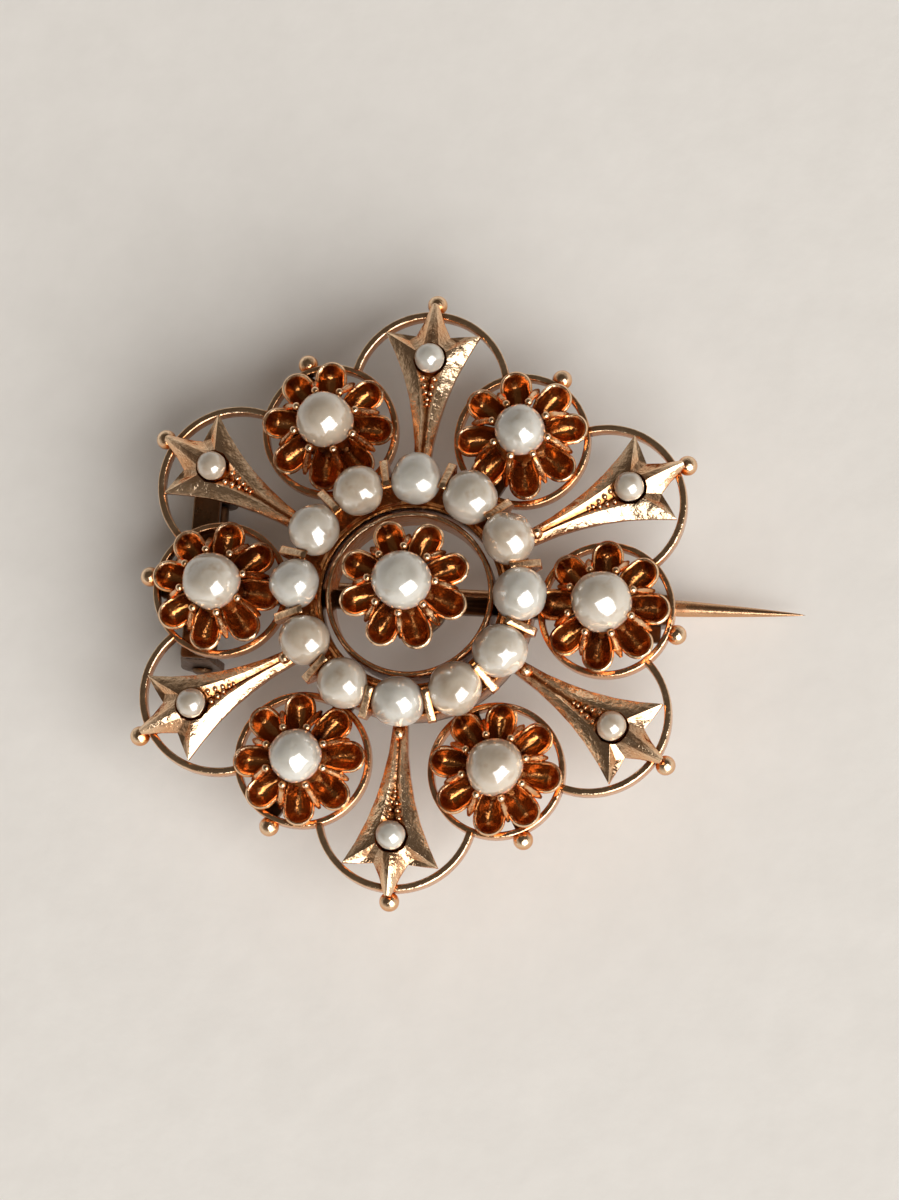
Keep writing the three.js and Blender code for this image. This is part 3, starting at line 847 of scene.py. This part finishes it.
def t_bar():
    """The tube that turns on the rivet."""
    half = HINGE_HALF_SPAN - EAR_THICK - TBAR_END_GAP
    corners = [(TBAR_BORE_R, -half), (TBAR_R, -half), (TBAR_R, half), (TBAR_BORE_R, half)]
    return along_y(lathe(filleted(corners, 0.08, 3), 64, closed=True))


def rivet():
    """The rivet through both ears, with a domed head at each end."""
    half = HINGE_HALF_SPAN + RIVET_OVERHANG
    head = [(0.46, 0.0), (0.46, 0.05), (0.42, 0.13), (0.31, 0.19), (0.16, 0.22), (0, 0.225)]
    profile = [(r, -half - z) for r, z in reversed(head)] + [(RIVET_R, -half), (RIVET_R, half)]
    profile += [(r, half + z) for r, z in head]
    return along_y(lathe(profile, 40))


def pin_stem():
    """The stem: a soldered collar at its root, then an even wire that thins to a point."""
    low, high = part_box("pin_stem")
    root, tip = low.x / METRES, high.x / METRES
    length = tip - root
    profile = [(0, 0), (0.355, 0), (0.375, 0.04), (0.375, 0.5), (STEM_R, 0.56)]
    profile.append((STEM_R, length - STEM_TAPER - 0.2))
    for k in range(24):
        left = STEM_TAPER * (1 - k / 24)
        profile.append((STEM_R * (left / STEM_TAPER) ** STEM_FULLNESS, length - left))
    profile.append((0, length))
    matrix = shift(root, PIN_Y, PIN_Z) @ turn(90, "Y")
    return lathe(profile, 32).moved(matrix)


piece("hinge_plate", hinge_plate(), TARNISHED_AND_SHADED)
piece("hinge_rivet", rivet(), TARNISHED_AND_SHADED)
piece("pin_t_bar", t_bar(), TARNISHED_AND_SHADED)
piece("pin_stem", pin_stem(), STEM)


# ---- catch ----

def pin_catch():
    """A strip bent to a hook: foot on the frame, leg beside the stem, and the hook rolled under it."""
    low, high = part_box("pin_catch")
    foot_end = low.y / METRES
    inner, outer = CATCH_IN_R, CATCH_OUT_R
    foot_low = FITTING_TOP - CATCH_FOOT_THICK
    path = [(foot_end, FITTING_TOP), (foot_end, foot_low)]
    path += [(PIN_Y - outer - CATCH_BEND, foot_low), (PIN_Y - outer, foot_low - CATCH_BEND)]
    path += arc(PIN_Y, PIN_Z, outer, 180, CATCH_LIP_DEG, 24)
    middle_r = (inner + outer) / 2
    lip = math.radians(CATCH_LIP_DEG)
    lip_centre = (PIN_Y + middle_r * math.cos(lip), PIN_Z + middle_r * math.sin(lip))
    path += arc(*lip_centre, (outer - inner) / 2, CATCH_LIP_DEG, CATCH_LIP_DEG + 180, 6)[1:-1]
    path += arc(PIN_Y, PIN_Z, inner, CATCH_LIP_DEG, 180, 24)
    path += [(PIN_Y - inner, FITTING_TOP)]
    half = CATCH_LENGTH / 2
    rings = []
    for x in (-half, half):
        rings.append([(CATCH_X + x, y, z) for y, z in path])
    return bevelled(loft(rings), 0.04)


piece("pin_catch", pin_catch(), TARNISHED_AND_SHADED)


# ---- wear and painted shade: how open each point of the surface is ----

RAYS = 14
WEAR_REACH = 1.5
RAY_START = 0.02


def hemisphere():
    """Directions spread evenly over the upper half of a ball."""
    out = []
    for k in range(RAYS):
        z = 0.12 + 0.86 * (k + 0.5) / RAYS
        angle = k * math.pi * (3 - math.sqrt(5))
        flat = math.sqrt(1 - z * z)
        out.append(Vector((flat * math.cos(angle), flat * math.sin(angle), z)))
    return out


def add_wear_and_shade():
    """Writes the attribute "open", from 0 in a closed recess to 1 on an exposed face; the metals paint it
    as shade and patina in recesses, and the pearls as shade where metal hems them in. Metal that faces
    sideways counts as less open, which paints shade on its sides."""
    points, faces = [], []
    for one in made:
        start = len(points)
        points += [v.co / METRES for v in one.data.vertices]
        faces += [[start + i for i in p.vertices] for p in one.data.polygons]
    tree = BVHTree.FromPolygons(points, faces)
    directions = hemisphere()
    for one in made:
        mesh = one.data
        values = []
        for vertex, normal in zip(mesh.vertices, mesh.vertex_normals):
            up = normal.vector
            basis = up.to_track_quat("Z", "Y").to_matrix()
            start = vertex.co / METRES + up * RAY_START
            free = 0
            for d in directions:
                if tree.ray_cast(start, basis @ d, WEAR_REACH)[0] is None:
                    free += 1
            # Painted shade: metal that faces sideways counts as less open, so its sides take darker colours
            # than its tops and bottoms.
            facing = 1.0 if mesh.materials[0] in NACRE else 0.5 + 0.5 * abs(up.z) ** 1.5
            values.append(free / RAYS * facing)
        layer = mesh.attributes.new("open", "FLOAT", "POINT")
        layer.data.foreach_set("value", values)


add_wear_and_shade()


# ---- floor, light and camera ----

FLOOR_Z = CAD_BOX[0][2]
FLOOR_HALF = 2.5


def floor_material():
    m = Nodes("pale_cloth")
    weave = m.noise(420.0, 4.0, 0.6)
    tone = m.blend(m.map(weave, 0.3, 0.7, 0.0, 1.0), (0.84, 0.82, 0.785), (0.875, 0.855, 0.82))
    m.link(tone, m.shader.inputs["Base Color"])
    m.shader.inputs["Roughness"].default_value = 0.95
    m.shader.inputs["Specular IOR Level"].default_value = 0.05
    m.bump(weave, 0.15, 0.0002)
    return m.material


def add_floor():
    mesh = bpy.data.meshes.new("floor")
    corners = [(x * FLOOR_HALF, y * FLOOR_HALF, FLOOR_Z) for x, y in ((-1, -1), (1, -1), (1, 1), (-1, 1))]
    mesh.from_pydata(corners, [], [(0, 1, 2, 3)])
    mesh.materials.append(floor_material())
    floor = bpy.data.objects.new("floor", mesh)
    bpy.context.scene.collection.objects.link(floor)


VIEW_AZIMUTH = math.radians(33)
VIEW_ELEVATION = math.radians(76)
VIEW_ROLL = math.radians(4.6)
VIEW_DISTANCE = 0.3
VIEW_AIM = Vector((0.0016, 0.0001, 0.001))
VIEW_LENS = 205
WALL_COLOUR = (0.93, 0.9, 0.86)
CEILING_COLOUR = (1.0, 0.78, 0.6)
WALL_GLOW = 0.62
CEILING_GLOW = 0.08
CEILING_RISE = (0.05, 0.7)
BRIGHT_SIDE = (0.65, -0.76, 0.0)
NEAR_SHARE = 1.35
FAR_SHARE = 0.75


def view_axes():
    """The camera's right, up and back directions in the brooch's frame."""
    flat = math.cos(VIEW_ELEVATION)
    back = Vector((math.sin(VIEW_AZIMUTH) * flat, -math.cos(VIEW_AZIMUTH) * flat, math.sin(VIEW_ELEVATION)))
    up = Vector((0, 1, 0))
    up = (up - back * up.dot(back)).normalized()
    up = Matrix.Rotation(VIEW_ROLL, 3, back) @ up
    return up.cross(back), up, back


def add_camera():
    right, up, back = view_axes()
    data = bpy.data.cameras.new("camera")
    data.lens = VIEW_LENS
    data.sensor_width = 36
    data.clip_start = 0.01
    camera = bpy.data.objects.new("camera", data)
    axes = Matrix((right, up, back)).transposed().to_4x4()
    camera.matrix_world = Matrix.Translation(VIEW_AIM + back * VIEW_DISTANCE) @ axes
    bpy.context.scene.collection.objects.link(camera)
    bpy.context.scene.camera = camera


def add_light(name, towards, distance, size, power, colour):
    """A soft panel that faces the brooch. Towards is in the camera's right, up and back."""
    right, up, back = view_axes()
    x, y, z = towards
    out = (right * x + up * y + back * z).normalized()
    data = bpy.data.lights.new(name, "AREA")
    data.shape = "RECTANGLE"
    data.size, data.size_y = size
    data.energy = power
    data.color = colour
    lamp = bpy.data.objects.new(name, data)
    lamp.location = out * distance
    lamp.rotation_euler = out.to_track_quat("Z", "Y").to_euler()
    bpy.context.scene.collection.objects.link(lamp)


def add_world():
    """A studio with pale walls that darken and warm toward the ceiling, and darken away from the window."""
    world = bpy.data.worlds.new("room")
    world.use_nodes = True
    tree = world.node_tree
    background = tree.nodes["Background"]
    direction = tree.nodes.new("ShaderNodeTexCoord").outputs["Generated"]
    split = tree.nodes.new("ShaderNodeSeparateXYZ")
    tree.links.new(direction, split.inputs["Vector"])

    def ramp(value, low, high, to_low, to_high):
        node = tree.nodes.new("ShaderNodeMapRange")
        node.interpolation_type = "SMOOTHSTEP"
        numbers = {"From Min": low, "From Max": high, "To Min": to_low, "To Max": to_high}
        for key, number in numbers.items():
            node.inputs[key].default_value = number
        tree.links.new(value, node.inputs["Value"])
        return node.outputs["Result"]

    colour = tree.nodes.new("ShaderNodeMix")
    colour.data_type = "RGBA"
    colour.inputs[6].default_value = (*WALL_COLOUR, 1)
    colour.inputs[7].default_value = (*CEILING_COLOUR, 1)
    tree.links.new(ramp(split.outputs["Z"], *CEILING_RISE, 0, 1), colour.inputs["Factor"])
    tree.links.new(colour.outputs[2], background.inputs["Color"])
    aside = tree.nodes.new("ShaderNodeVectorMath")
    aside.operation = "DOT_PRODUCT"
    aside.inputs[1].default_value = BRIGHT_SIDE
    tree.links.new(direction, aside.inputs[0])
    glow = tree.nodes.new("ShaderNodeMath")
    glow.operation = "MULTIPLY"
    tree.links.new(ramp(split.outputs["Z"], *CEILING_RISE, WALL_GLOW, CEILING_GLOW), glow.inputs[0])
    tree.links.new(ramp(aside.outputs["Value"], -1, 1, FAR_SHARE, NEAR_SHARE), glow.inputs[1])
    tree.links.new(glow.outputs["Value"], background.inputs["Strength"])
    bpy.context.scene.world = world


add_floor()
add_camera()
add_world()
add_light("window", (0.42, -0.44, 0.79), 1.1, (1.15, 1.25), 18.5, (1.0, 0.985, 0.96))

bpy.context.scene.view_settings.view_transform = "Standard"
